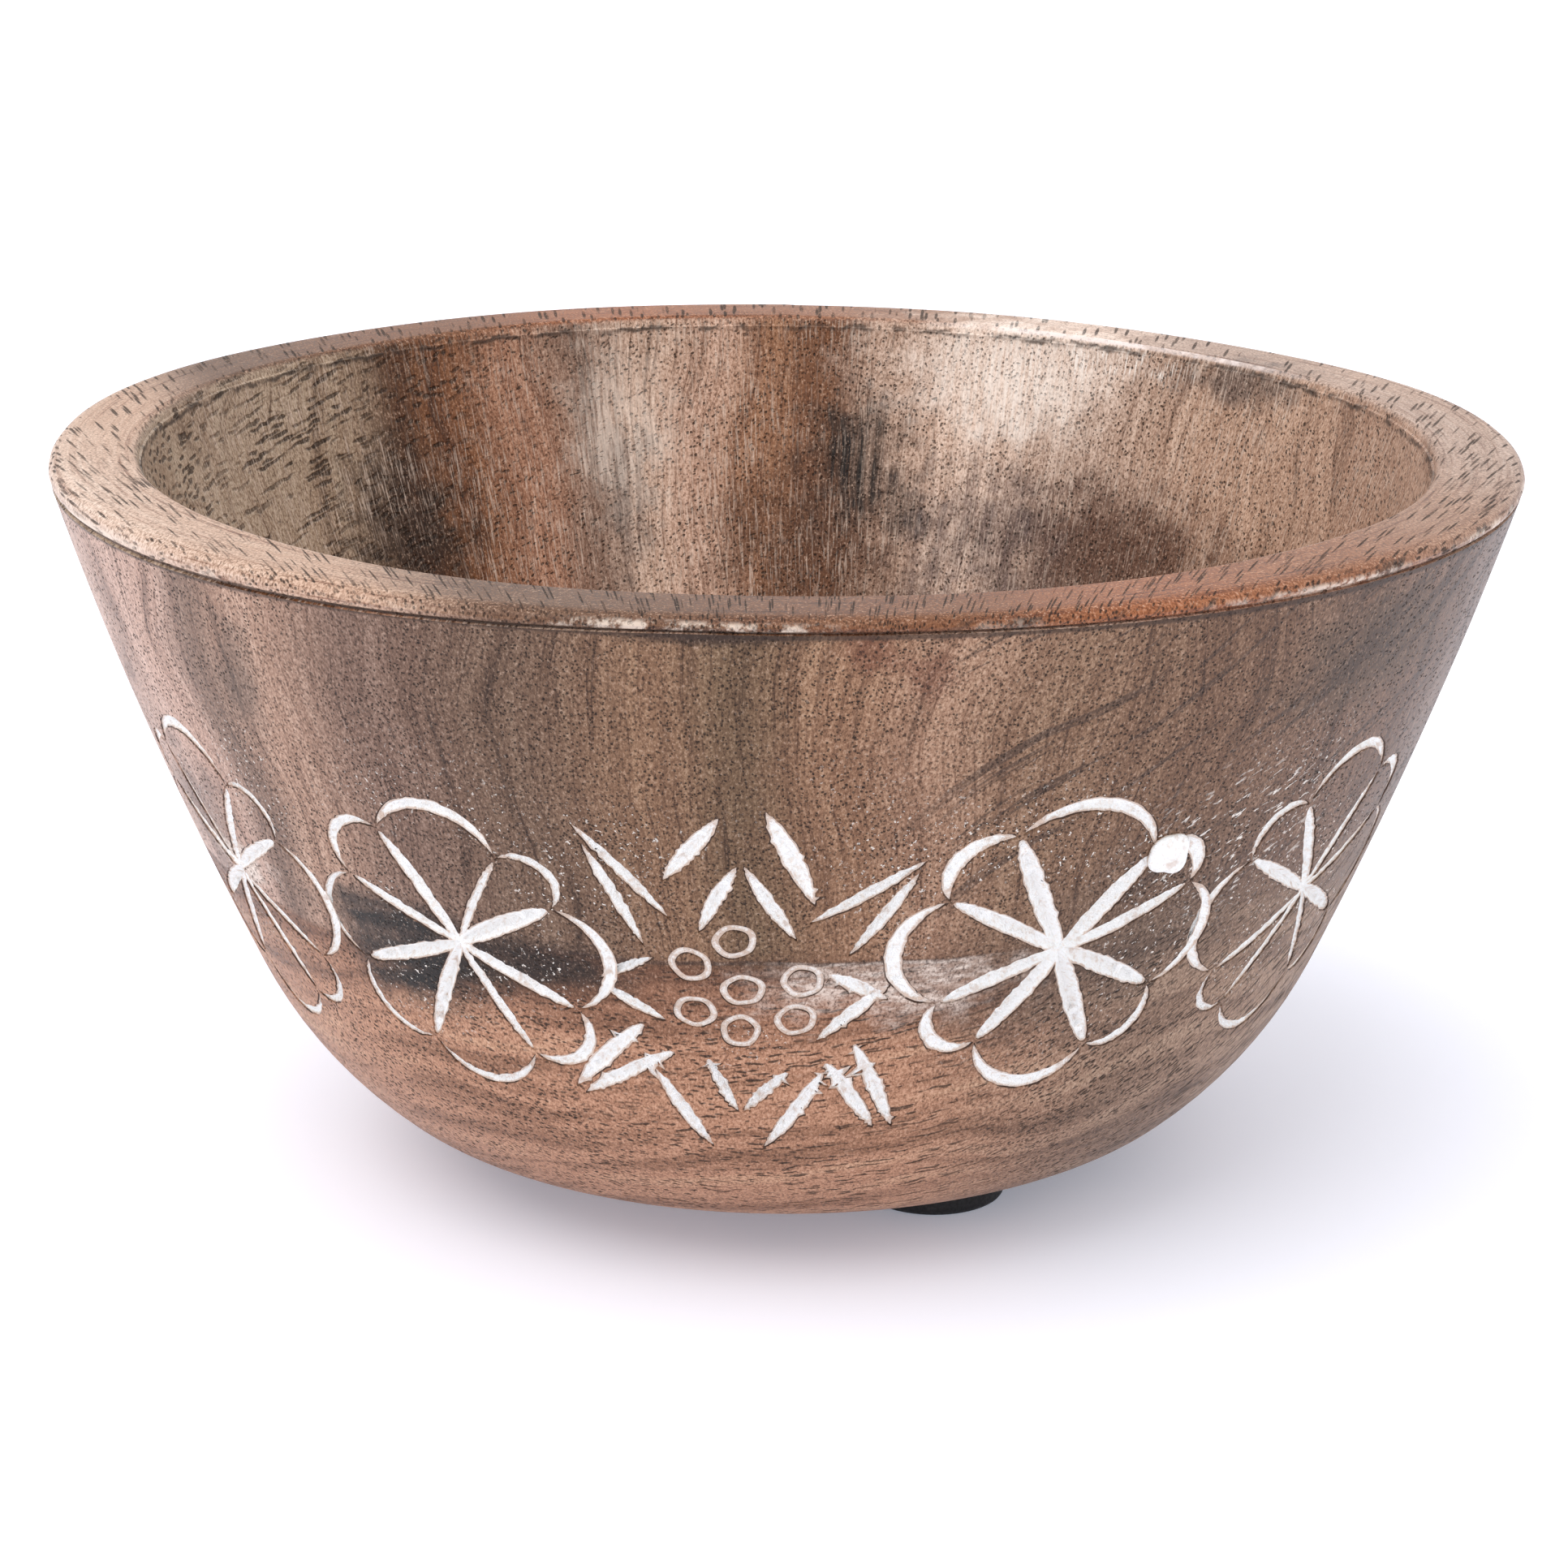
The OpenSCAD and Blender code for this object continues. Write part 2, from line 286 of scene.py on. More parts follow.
# the vee's section: from the keel out to the top, as (share of the half width, share of the depth)
# with None for the flat top, which stands clear of the wood
vee_steps = 10
vee = [(0, -1), (0.42, -0.68), (0.86, -0.16), (1.06, 0.08), (1.16, None), (0, None)]


def cut_piece(name, motif, cut, lift=0.0):
    """The wood that one cut takes out, as a closed solid. lift raises it off the wood."""
    rng = random.Random(cut.seed)
    bm = bmesh.new()
    bmesh.ops.create_uvsphere(bm, u_segments=vee_steps, v_segments=38, radius=1,
                              matrix=Matrix.Rotation(math.pi / 2, 4, "Y"))
    rings = {}
    for v in bm.verts:
        t = max(-1.0, min(1.0, v.co.x))
        ring = round(t, 4)
        if ring not in rings:
            spikes = [max(0.0, rng.gauss(-0.5, 1)) * cut.torn for _ in range(2)]
            if t < -0.4 and cut.torn > torn:
                longer = very_torn_length if cut.torn > very_torn else torn_length
                spikes = [longer * spike for spike in spikes]
            wander = [rng.gauss(0, 0.06) for _ in range(2)]
            rings[ring] = [a + b for a, b in zip(spikes, wander)]
        torn_end = t < 0 and cut.torn > very_torn
        size = max(0.0, 1 - t * t) ** (torn_end_fullness if torn_end else cut.fullness)
        section = math.degrees(math.atan2(abs(v.co.y), -v.co.z)) if abs(t) < 0.9999 else 0
        share, low = vee[round(section * vee_steps / 360)]
        side = 1 if v.co.y > 0 else -1
        tear = rings[ring][side > 0] if share > 0.5 else 0
        across = side * share * (cut.half_width * size + tear * min(1, 3 * size))
        if low is None:
            out = 0.12 + stands_proud * size
        else:
            out = low * cut.depth * size + 0.06 * (1 - size)
        point, sideways = cut.path(t)
        place = point + sideways * across
        v.co = on_motif(motif, place.x, place.y, out + lift)
    return closed_mesh(bm, name)


ring_radius = 1.72
ring_groove = 0.4


def ring_piece(name, motif, where, seed, lift=0.0):
    """The wood that the ring bit takes out: a thin round groove, a little out of round."""
    rng = random.Random(seed)
    squash, turn = rng.uniform(-0.08, 0.08), rng.uniform(0, 6)
    bm = bmesh.new()
    bmesh.ops.create_circle(bm, segments=8, radius=ring_groove,
                            matrix=Matrix.Translation((ring_radius, 0, 0))
                            @ Matrix.Rotation(math.pi / 2, 4, "X"))
    bmesh.ops.spin(bm, geom=bm.verts[:] + bm.edges[:], axis=(0, 0, 1), cent=(0, 0, 0),
                   angle=math.tau, steps=36, use_merge=True)
    bmesh.ops.remove_doubles(bm, verts=bm.verts, dist=1e-5)
    for v in bm.verts:
        angle = math.atan2(v.co.y, v.co.x)
        wide = 1 + squash * math.cos(2 * angle + turn) + 0.025 * math.sin(5 * angle + turn)
        v.co = on_motif(motif, where[0] + v.co.x * wide, where[1] + v.co.y * wide,
                        v.co.z + 0.02 + lift)
    return closed_mesh(bm, name)


def flower_cuts(tips, seed, petals_wider=1):
    """Eight spokes, given as (angle, length, width), and a petal between each two."""
    rng = random.Random(seed)
    cuts = []
    for angle, length, width in tips:
        start = polar(-0.6, angle + rng.uniform(-8, 8))
        path = straight(start, polar(length, angle), rng.uniform(-0.3, 0.3))
        depth = cut_depth * width / spoke_width
        cuts.append(Cut(path, width / 2, depth, fullness=0.38, torn=0.06, seed=rng.random()))
    for (a, la, _), (b, lb, _) in zip(tips, tips[1:] + tips[:1]):
        gap = (b - a) % 360
        rise = 0.6 + 0.073 * gap + rng.uniform(-0.3, 0.3)
        path = arched(polar(la + 0.3, a), polar(lb + 0.3, b), rise)
        width = petal_width * petals_wider * rng.uniform(0.8, 1.2)
        cuts.append(Cut(path, width / 2, petal_depth, fullness=0.7, torn=0.03, seed=rng.random()))
    return cuts


def even_tips(seed):
    """Tips in four pairs, as near even as hand work is."""
    rng = random.Random(seed)
    angles = [45 + 90 * (i // 2) + (spoke_spread if i % 2 else -spoke_spread) for i in range(8)]
    return [(a + rng.uniform(-4, 2), spoke_length + rng.uniform(-0.8, 1), rng.uniform(1.4, 2.1))
            for a in angles]


# the leaves of a burst: start, end, width and how far the edges are torn
burst_leaves = [
    ((-6, 8.1), (-14.1, 19), 1.35, 0.03), ((-8.7, 4.6), (-13.3, 16.7), 1.4, 0.04),
    ((-6.5, 12.6), (-1.1, 20.4), 1.9, 0.15), ((-3.6, 6.6), (0.2, 14.8), 1.65, 0.1),
    ((5.3, 5.8), (0.6, 14.9), 1.6, 0.08), ((6.9, 9.9), (2.5, 21.3), 2.1, 0.18),
    ((6.2, 7.9), (16.6, 15.2), 1.45, 0.05), ((9.9, 3.8), (15.9, 13.9), 1.45, 0.06),
    ((-7.9, 3.4), (-13.6, 0.2), 1.3, 0.03), ((-7.4, -4.6), (-13.6, -0.4), 1.5, 0.04),
    ((8, 1.8), (14.1, -1.8), 1.9, 0.16), ((7.1, -6.9), (14.2, 0.3), 1.8, 0.1),
    ((-9.8, -5.2), (-18.6, -14.6), 2.2, 0.22), ((-7, -8.6), (-17.8, -15.4), 1.9, 0.24),
    ((-9.4, -10.8), (-3.9, -22), 1.9, 0.14), ((-3.7, -9.3), (-0.8, -16.4), 1.4, 0.22),
    ((4.5, -10.9), (-0.4, -16.4), 1.5, 0.24), ((8.1, -10.9), (1.6, -22), 1.9, 0.2),
    ((8.2, -9.7), (13.9, -19), 1.9, 0.26), ((11, -7.3), (16, -19), 1.9, 0.26),
]
ring_spots = [(-0.4, 5.7), (-4.6, 2.7), (0.2, -0.3), (-4.5, -3.2), (-0.2, -5.5), (5.8, 0.9),
              (5.2, -4)]


def burst_cuts(seed):
    """Twenty leaves, each bowed a little."""
    rng = random.Random(seed)
    cuts = []
    for start, end, width, tear in burst_leaves:
        path = straight(start, end, rng.uniform(-0.2, 0.2))
        cuts.append(Cut(path, width / 2, leaf_depth, fullness=0.75, torn=tear, seed=rng.random()))
    return cuts


def carve(target, pieces, operation="DIFFERENCE"):
    """Cuts, joins or keeps the pieces' shape in the target, and clears the pieces away."""
    group = bpy.data.collections.new("cutting")
    bpy.context.scene.collection.children.link(group)
    for mesh in pieces:
        group.objects.link(bpy.data.objects.new(mesh.name, mesh))
    cut = target.modifiers.new("cut", "BOOLEAN")
    cut.operation = operation
    cut.solver = "MANIFOLD"
    cut.operand_type = "COLLECTION"
    cut.collection = group
    graph = bpy.context.evaluated_depsgraph_get()
    done = bpy.data.meshes.new_from_object(target.evaluated_get(graph))
    target.modifiers.clear()
    target.data = done
    for o in list(group.objects):
        bpy.data.objects.remove(o)
    bpy.data.collections.remove(group)


def smooth_but_crisp(mesh, degrees):
    """Shades a mesh smooth, but for edges sharper than this."""
    for face in mesh.polygons:
        face.use_smooth = True
    mesh.set_sharp_from_angle(angle=math.radians(degrees))


# where the motifs stand, as on the CAD model: a burst, two flowers, and again
bursts = [Motif((3 * motif_pitch + 1.2) * k - 4, 14.5) for k in range(4)]
flowers = [Motif((3 * motif_pitch + 2.2) * (k // 2) + (1 + k % 2) * motif_pitch - 6,
                 16.5 + 0.4 * math.sin(math.radians(110 * (k + 1)))) for k in range(8)]
flower_tips = [even_tips(40 + k) for k in range(8)]
flower_tips[0] = [(24, 13.8, 1.9), (54, 12.6, 2.5), (114, 15.6, 2.3), (148, 13.8, 2),
                  (203, 12.6, 2.1), (235, 12.4, 2.4), (295, 14, 2.4), (331, 13.2, 2.3)]
flower_tips[7] = [(29, 12, 2.3), (61, 12.6, 1.1), (115, 13.6, 1.9), (152, 12.4, 1.6),
                  (200, 13.8, 2), (241, 15, 1.9), (293, 13.6, 1.5), (331, 12.8, 1.9)]
petals_wider = {0: 1.25}

motif_cuts = {}
for k, motif in enumerate(flowers):
    cuts = flower_cuts(flower_tips[k], 90 + k, petals_wider.get(k, 1))
    motif_cuts[f"flower_paint_{k + 1}"] = (motif, cuts)
for k, motif in enumerate(bursts):
    motif_cuts[f"burst_paint_{k + 1}"] = (motif, burst_cuts(60 + k))

waste = []
for name, (motif, cuts) in motif_cuts.items():
    waste += [cut_piece(name, motif, cut) for cut in cuts]
for k, motif in enumerate(bursts):
    waste += [ring_piece("ring", motif, where, 10 * k + i) for i, where in enumerate(ring_spots)]
carve(bowl, waste)
smooth_but_crisp(bowl.data, 35)
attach(bowl, "root")
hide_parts("bowl_body")


# ---- The wood's colour and grain ----
# A brown hardwood such as mango or acacia: grey-brown heartwood with streaks, over warmer wood low
# on the bowl, full of open pores. It is sanded and waxed, with scuffs inside and white paint left
# in the pores round the carving. Some of its pale and dark marks are painted sheen, highlights and
# shade.
def tone(red, green, blue):
    """A colour picked on a screen, from 0 to 255, as the shaders want it."""
    def linear(c):
        c /= 255
        return c / 12.92 if c <= 0.04045 else ((c + 0.055) / 1.055) ** 2.4
    return linear(red), linear(green), linear(blue), 1


class Mixing:
    """Puts nodes into one shader tree. Every call gives the new node's output."""

    def __init__(self, tree):
        self.tree = tree

    def add(self, kind, fed=None, out=0, **settings):
        node = self.tree.nodes.new("ShaderNode" + kind)
        for name, value in settings.items():
            setattr(node, name, value)
        for name, value in (fed or {}).items():
            self.feed(node.inputs[name], value)
        return node.outputs[out]

    def feed(self, socket, value):
        if isinstance(value, bpy.types.NodeSocket):
            self.tree.links.new(value, socket)
        else:
            socket.default_value = value

    def math(self, operation, *values):
        return self.add("Math", dict(enumerate(values)), operation=operation)

    def plus(self, a, b):
        return self.math("ADD", a, b)

    def minus(self, a, b):
        return self.math("SUBTRACT", a, b)

    def times(self, product, *others):
        for other in others:
            product = self.math("MULTIPLY", product, other)
        return product

    def vector(self, operation, *values):
        return self.add("VectorMath", dict(enumerate(values)), operation=operation)

    def scaled(self, a, factor):
        return self.add("VectorMath", {0: a, "Scale": factor}, operation="SCALE")

    def dot(self, a, b):
        return self.add("VectorMath", {0: a, 1: b}, out="Value", operation="DOT_PRODUCT")

    def length(self, a):
        return self.add("VectorMath", {0: a}, out="Value", operation="LENGTH")

    def joined(self, a, b, c=0.0):
        return self.add("CombineXYZ", {0: a, 1: b, 2: c})

    def parts(self, a):
        return self.add("SeparateXYZ", {0: a}).node.outputs

    def fade(self, value, start, end, low=0.0, high=1.0):
        """Goes smoothly from low at start to high at end."""
        return self.add("MapRange", {0: value, 1: start, 2: end, 3: low, 4: high},
                        interpolation_type="SMOOTHSTEP")

    def noise(self, place, scale, detail=2.0, rough=0.5, out="Fac"):
        return self.add("TexNoise", {"Vector": place, "Scale": scale, "Detail": detail,
                                     "Roughness": rough}, out=out)

    def stripes(self, value, stops):
        """Colours at given stations along a value."""
        low, high = stops[0][0], stops[-1][0]
        ramp = self.add("ValToRGB", {0: self.add("MapRange", {0: value, 1: low, 2: high})})
        bar = ramp.node.color_ramp
        bar.interpolation = "EASE"
        while len(bar.elements) < len(stops):
            bar.elements.new(0.5)
        for element, (station, colour) in zip(bar.elements, stops):
            element.position = (station - low) / (high - low)
        for element, (station, colour) in zip(bar.elements, stops):
            element.color = tone(*colour)
        return ramp

    def blend(self, amount, a, b, mode="MIX"):
        return self.add("Mix", {0: amount, 6: a, 7: b}, out=2, data_type="RGBA", blend_type=mode)

    def darkened(self, colour, value, stops):
        """The colour, darkened by stripes along a value."""
        return self.blend(1, colour, self.stripes(value, stops), "MULTIPLY")

    def group(self, made, **fed):
        return self.add("Group", fed, node_tree=made)


def new_group(name, takes, gives):
    """An empty shader group with named inputs and outputs, its mixing, and its two ends."""
    made = bpy.data.node_groups.new(name, "ShaderNodeTree")
    for direction, sockets in (("INPUT", takes), ("OUTPUT", gives)):
        for socket, kind in sockets.items():
            made.interface.new_socket(socket, in_out=direction, socket_type="NodeSocket" + kind)
    taken = made.nodes.new("NodeGroupInput").outputs
    given = made.nodes.new("NodeGroupOutput").inputs
    return made, Mixing(made), taken, given


def new_material(name):
    """A material, its mixing, each point's place on the object in millimetres, and its shader."""
    made = bpy.data.materials.new(name)
    made.use_nodes = True
    mixing = Mixing(made.node_tree)
    places = mixing.scaled(mixing.add("TexCoord", out="Object"), 1 / mm)
    return made, mixing, places, made.node_tree.nodes["Principled BSDF"]


# long open pores that run along the grain: dots on end grain, dashes on side grain
pores, mix, taken, given = new_group(
    "pores", {"Place": "Vector", "Grain": "Vector", "Spacing": "Float", "Stretch": "Float",
              "Size": "Float"}, {"Mask": "Float"})
lengthwise = mix.scaled(taken["Grain"], mix.dot(taken["Place"], taken["Grain"]))
across = mix.vector("SUBTRACT", taken["Place"], lengthwise)
shrunk = mix.scaled(lengthwise, mix.math("DIVIDE", 1, taken["Stretch"]))
cells = mix.scaled(mix.vector("ADD", across, shrunk), mix.math("DIVIDE", 1, taken["Spacing"]))
distance = mix.add("TexVoronoi", {"Vector": cells, "Scale": 1, "Randomness": 1})
mix.feed(given["Mask"], mix.fade(distance, taken["Size"], mix.times(taken["Size"], 0.55)))

# a soft spot round a place on the bowl, with an uneven edge
spot, mix, taken, given = new_group(
    "spot", {"Place": "Vector", "Centre": "Vector", "Reach": "Vector", "Ragged": "Float"},
    {"Mask": "Float"})
away = mix.vector("DIVIDE", mix.vector("SUBTRACT", taken["Place"], taken["Centre"]), taken["Reach"])
uneven = mix.times(mix.minus(mix.noise(taken["Place"], 0.25, 4, 0.6), 0.5), taken["Ragged"])
mix.feed(given["Mask"], mix.fade(mix.plus(mix.length(away), uneven), 1, 0.25))


def at(turn, z, radius):
    """A place in millimetres, at an angle from the front."""
    return radius * math.sin(math.radians(turn)), -radius * math.cos(math.radians(turn)), z


def depth_under_face(mix, radius, z):
    """How deep a place lies under the turned face, in millimetres, on the carved band."""
    depths = []
    for arc in (belly, wall):
        away = mix.joined(mix.minus(radius, arc.x / mm), mix.minus(z, arc.z / mm))
        depths.append(mix.minus(arc.radius / mm, mix.length(away)))
    meet = point_on(wall, belly_lean)[1] / mm
    on_wall = mix.fade(z, meet - 0.1, meet + 0.1)
    return mix.add("Mix", {0: on_wall, 2: depths[0], 3: depths[1]}, data_type="FLOAT")


wood, mix, place, surface = new_material("waxed_hardwood")
x, y, z = mix.parts(place)
radius = mix.length(mix.vector("MULTIPLY", place, (1, 1, 0)))
facing = mix.parts(mix.add("TexCoord", out="Normal"))
outward = mix.plus(mix.times(x, facing[0]), mix.times(y, facing[1]))
outward = mix.math("DIVIDE", outward, mix.math("MAXIMUM", radius, 1))
inside = mix.fade(mix.minus(outward, mix.times(facing[2], 0.9)), 0.15, -0.15)
outside = mix.minus(1, inside)

# how far a place lies above the bead's lower edge, which follows bead_share
tall = bead_height / mm
bead_left, bead_front = tall * (bead_at_front + bead_more_left), tall * bead_at_front
bead_line = mix.plus(mix.fade(x, -60, -10, -bead_left, -bead_front),
                     mix.fade(x, 10, 60, 0, -tall * bead_more_right))
bead_line = mix.minus(bead_line, mix.times(x, rim_tip))
on_rim = mix.minus(z, mix.plus(bead_line, rim_top / mm))
rim = mix.times(mix.fade(on_rim, 0, 0.35), mix.fade(radius, 67.2, 67.8))


def warped(fineness, reach):
    """Places pushed about a little, so that no band or line runs straight."""
    push = mix.vector("SUBTRACT", mix.noise(place, fineness, out="Color"), (0.5, 0.5, 0.5))
    return mix.vector("ADD", place, mix.scaled(push, reach))


bent = mix.parts(warped(0.025, 16))
wavy = warped(0.35, 1.2)

# streaks of the upper wood, which run up and down the wall and fan out with it; outside, the pale
# stations at the far left and the grey one at the far right are partly painted sheen where the wall
# turns away
sideways = mix.times(bent[0], mix.math("DIVIDE", 76, mix.math("MAXIMUM", radius, 40)))
outer_wood_and_sheen = mix.stripes(sideways, [
    (-80, (214, 190, 178)), (-64, (220, 188, 172)), (-58, (146, 120, 104)), (-52, (196, 164, 144)),
    (-40, (138, 112, 98)), (-26, (126, 102, 84)), (-12, (152, 120, 94)), (-3, (126, 102, 78)),
    (8, (170, 134, 106)), (16, (180, 146, 122)), (26, (150, 120, 96)), (40, (132, 102, 80)),
    (60, (134, 106, 88)), (80, (142, 126, 118))])
# inside, the palest streaks are partly the wood and partly a painted sheen off the inside wall
inner_wood_and_sheen = mix.stripes(sideways, [
    (-80, (200, 182, 162)), (-60, (188, 168, 146)), (-52, (104, 68, 42)), (-45, (150, 102, 68)),
    (-36, (194, 148, 122)), (-28, (162, 134, 118)), (-20, (238, 212, 194)), (-10, (230, 196, 176)),
    (-2, (172, 128, 98)), (7, (142, 98, 68)), (13, (212, 184, 166)), (28, (250, 226, 210)),
    (42, (222, 200, 186)), (60, (206, 174, 152)), (80, (188, 154, 134))])
upper = mix.blend(inside, outer_wood_and_sheen, inner_wood_and_sheen)
hairs = mix.noise(mix.joined(mix.times(sideways, 2.1), mix.times(z, 0.05), mix.times(inside, 7)),
                  1, 3, 0.7)
upper = mix.darkened(upper, hairs, [(0.3, (166, 152, 142)), (0.46, (244, 240, 238)),
                                    (0.6, (255, 255, 255))])
streaks = mix.noise(mix.joined(mix.times(sideways, 0.5), mix.times(z, 0.02), inside), 1, 6, 0.7)
upper = mix.darkened(upper, streaks, [(0.28, (140, 126, 116)), (0.45, (232, 226, 222)),
                                      (0.6, (255, 255, 255))])

# the warmer wood below, with its lines lying level; it is greyer at the right
level = mix.minus(mix.times(bent[2], 0.35), mix.times(x, 0.05))
lines = mix.noise(mix.joined(mix.times(x, 0.02), mix.times(y, 0.05), level), 1, 5, 0.6)
lower = mix.stripes(lines, [(0.25, (108, 74, 54)), (0.38, (152, 110, 84)), (0.52, (186, 140, 112)),
                            (0.75, (202, 160, 130))])
lower = mix.darkened(lower, z, [(28, (255, 255, 255)), (35, (212, 204, 198)), (40, (144, 130, 118))])
greyer = mix.stripes(lines, [(0.3, (92, 72, 58)), (0.45, (132, 108, 90)), (0.6, (158, 134, 114))])
lower = mix.blend(mix.fade(x, 8, 34, 0, 0.85), lower, greyer)

# where the two meet: sharp at the left, soft at the right, with a dark line at the middle
line_height = mix.minus(mix.fade(x, -38, -22, 35.5, 39), mix.fade(x, -42, -58, 0, -1))
line_height = mix.plus(line_height, mix.times(mix.noise(place, 0.06, 3), 2))
softness = mix.fade(x, -20, 25, 0.5, 5)
lower_zone = mix.fade(mix.math("DIVIDE", mix.minus(line_height, z), softness), -1, 1)
lower_zone = mix.times(lower_zone, outside)
colour = mix.blend(lower_zone, upper, lower)
off_line = mix.math("ABSOLUTE", mix.minus(line_height, z))
boundary = mix.times(mix.fade(off_line, 0.4, 0.1), mix.fade(x, -26, -20), mix.fade(x, 24, 10))

# the rim, with fine lathe lines round it; its pale left and right ends are partly painted light where
# the rim catches it
rim_wood_and_sheen = mix.stripes(mix.plus(mix.times(bent[1], 0.4), x), [
    (-90, (236, 218, 206)), (-66, (206, 176, 156)), (-52, (116, 86, 66)), (-15, (132, 88, 60)),
    (5, (162, 104, 70)), (30, (156, 108, 80)), (50, (172, 138, 118)), (70, (190, 168, 156)),
    (90, (204, 176, 158))])
lathe_place = mix.joined(mix.times(radius, 1.9), mix.times(mix.math("ARCTAN2", x, y), 4),
                         mix.times(z, 1.9))
rim_wood_and_sheen = mix.darkened(rim_wood_and_sheen, mix.noise(lathe_place, 1, 4, 0.7), [
    (0.3, (176, 152, 140)), (0.48, (244, 238, 234)), (0.62, (255, 255, 255))])
colour = mix.blend(rim, colour, rim_wood_and_sheen)


def near(centre, reach, ragged):
    return mix.group(spot, Place=place, Centre=centre, Reach=reach, Ragged=ragged)


def with_stains_and_sheen(colour, marks):
    """Lays marks on the wood's colour, stains and in places painted sheen: (amount, centre, size, shade,
    how ragged, on which wood).
    """
    for amount, centre, size, shade, ragged, only in marks:
        mask = mix.times(near(centre, size, ragged), amount, only)
        colour = mix.blend(mask, colour, tone(*shade))
    return colour


striped = mix.times(outside, mix.fade(lines, 0.66, 0.5, 0.75, 1))
colour = with_stains_and_sheen(colour, [
    (0.9, at(-26, 37.5, 61), (18, 22, 4.6), (64, 46, 34), 0.9, striped),
    (1, at(-35.5, 35, 61), (11.5, 14, 6.5), (12, 8, 6), 0.9, striped),
    (1, at(-37.5, 40.4, 62), (12, 14, 4), (16, 11, 9), 0.9, striped),
    (0.85, at(-22, 38.2, 61), (12, 14, 3.8), (38, 26, 20), 0.9, striped),
    (0.6, at(24, 35, 60), (20, 16, 9), (92, 70, 56), 1.2, outside),
    (0.45, at(33, 42, 66), (22, 16, 13), (100, 82, 70), 1.2, outside),
    (0.6, at(-62, 44, 66), (8, 12, 14), (96, 76, 66), 1.4, outside),
    (0.8, at(-57, 41, 63), (7, 8, 3), (240, 228, 218), 1.8, outside),
    (0.6, at(-45, 66, 72), (4, 6, 12), (96, 80, 70), 1.2, outside),
    (0.3, at(4, 55, 69), (12, 20, 16), (112, 78, 56), 1.5, outside),
    (0.5, at(6, 73, 75), (4, 6, 3), (110, 58, 38), 1.9, outside),
    (0.4, at(10, 70.5, 74), (3, 6, 3), (110, 60, 40), 1.9, outside),
    (0.6, at(50, 66, 72), (20, 20, 9), (84, 68, 54), 1.2, outside),
    (0.9, at(-5, 74.6, 75), (12, 5, 1.3), (62, 44, 34), 1, outside),
])
colour = mix.blend(mix.times(boundary, outside, 0.6), colour, tone(58, 40, 32))

# growth lines that climb to the right on the right of the wall
climb = mix.times(mix.minus(z, mix.times(sideways, 0.8)), 0.5)
climbing = mix.noise(mix.joined(climb, mix.times(mix.plus(z, x), 0.02)), 1, 4, 0.7)
climbing = mix.times(mix.fade(climbing, 0.46, 0.38), mix.fade(x, 4, 22, 0, 0.75), outside,
                     mix.fade(z, 40, 46))
colour = mix.blend(climbing, colour, tone(72, 54, 44))

striated = mix.times(inside, mix.fade(streaks, 0.62, 0.4, 0.3, 1))
colour = with_stains_and_sheen(colour, [
    (0.85, at(-134, 56, 60), (14, 13, 13), (50, 30, 16), 1.6, inside),
    (0.8, at(176, 50, 58), (18, 18, 13), (98, 62, 38), 1.4, inside),
    (0.8, at(155, 72, 66), (26, 16, 11), (244, 222, 208), 1.2, inside),
    (0.9, at(139, 51, 60), (30, 26, 13), (86, 52, 34), 1.2, inside),
    (0.6, at(172, 58, 61), (10, 12, 14), (92, 66, 52), 1.8, striated),
    (1, at(172, 60, 62), (7.5, 11, 10), (16, 14, 16), 1.5, striated),
    (0.9, at(167, 54.5, 61), (4, 9, 5), (24, 22, 26), 1.6, striated),
    (0.6, at(158, 51, 60), (13, 12, 13), (104, 94, 96), 2, striated),
    (0.7, at(-162, 56, 61), (4, 8, 16), (86, 76, 74), 2, striated),
    (0.7, at(130, 73, 66), (15, 13, 3), (70, 60, 60), 1.8, inside),
])

# pores: dots on the outside, long dashes inside, and on the rim a fan that opens to the back
outer_grain = Vector((0.1, 0.99, 0.1)).normalized()
inner_grain = Vector((0.42, 0.9, 0.12)).normalized()
lower_grain = Vector((0.97, 0.12, 0.2)).normalized()
right_grain = Vector((0.6, 0.52, 0.6)).normalized()
fan_centre = 190
from_centre = mix.vector("MULTIPLY", mix.vector("ADD", wavy, (0, fan_centre, 0)), (1, 1, 0))
sweep_round = mix.times(mix.math("ARCTAN2", x, mix.plus(y, fan_centre)), fan_centre)
fan = mix.joined(sweep_round, mix.length(from_centre), z)


def open_pores(grain, spacing, stretch, size, where=wavy):
    return mix.group(pores, Place=where, Grain=grain, Spacing=spacing, Stretch=stretch, Size=size)


outer_pores = open_pores(outer_grain, 0.4, 5, 0.34)
back_pores = open_pores(inner_grain, 0.5, 8, 0.33)
left_pores = open_pores(inner_grain, 0.7, 16, 0.46)
inner_pores = mix.blend(mix.fade(x, -30, -42), back_pores, left_pores)
middle_pores = open_pores(lower_grain, 0.44, 18, 0.38)
right_pores = open_pores(right_grain, 0.38, 12, 0.42)
lower_pores = mix.blend(mix.fade(x, 12, 26), middle_pores, right_pores)
rim_pores = open_pores((0, 1, 0), 0.46, 17, 0.38, fan)
pore = mix.blend(lower_zone, mix.blend(inside, outer_pores, inner_pores), lower_pores)
patchy = mix.fade(mix.noise(place, 0.12, 3), 0.35, 0.55, 0.55, 1)
pore = mix.times(mix.blend(rim, pore, rim_pores), patchy)
colour = mix.blend(mix.times(pore, 0.85), colour, tone(40, 26, 16))

# fine fibre, and scratches from sanding that run up the inside, lit with painted sparkle, glints and
# sheen
grainy = mix.noise(mix.vector("MULTIPLY", place, (1, 1, 0.6)), 3.7, 3, 0.7)
colour = mix.darkened(colour, grainy, [(0.3, (106, 90, 78)), (0.46, (218, 209, 202)),
                                       (0.58, (255, 255, 255))])
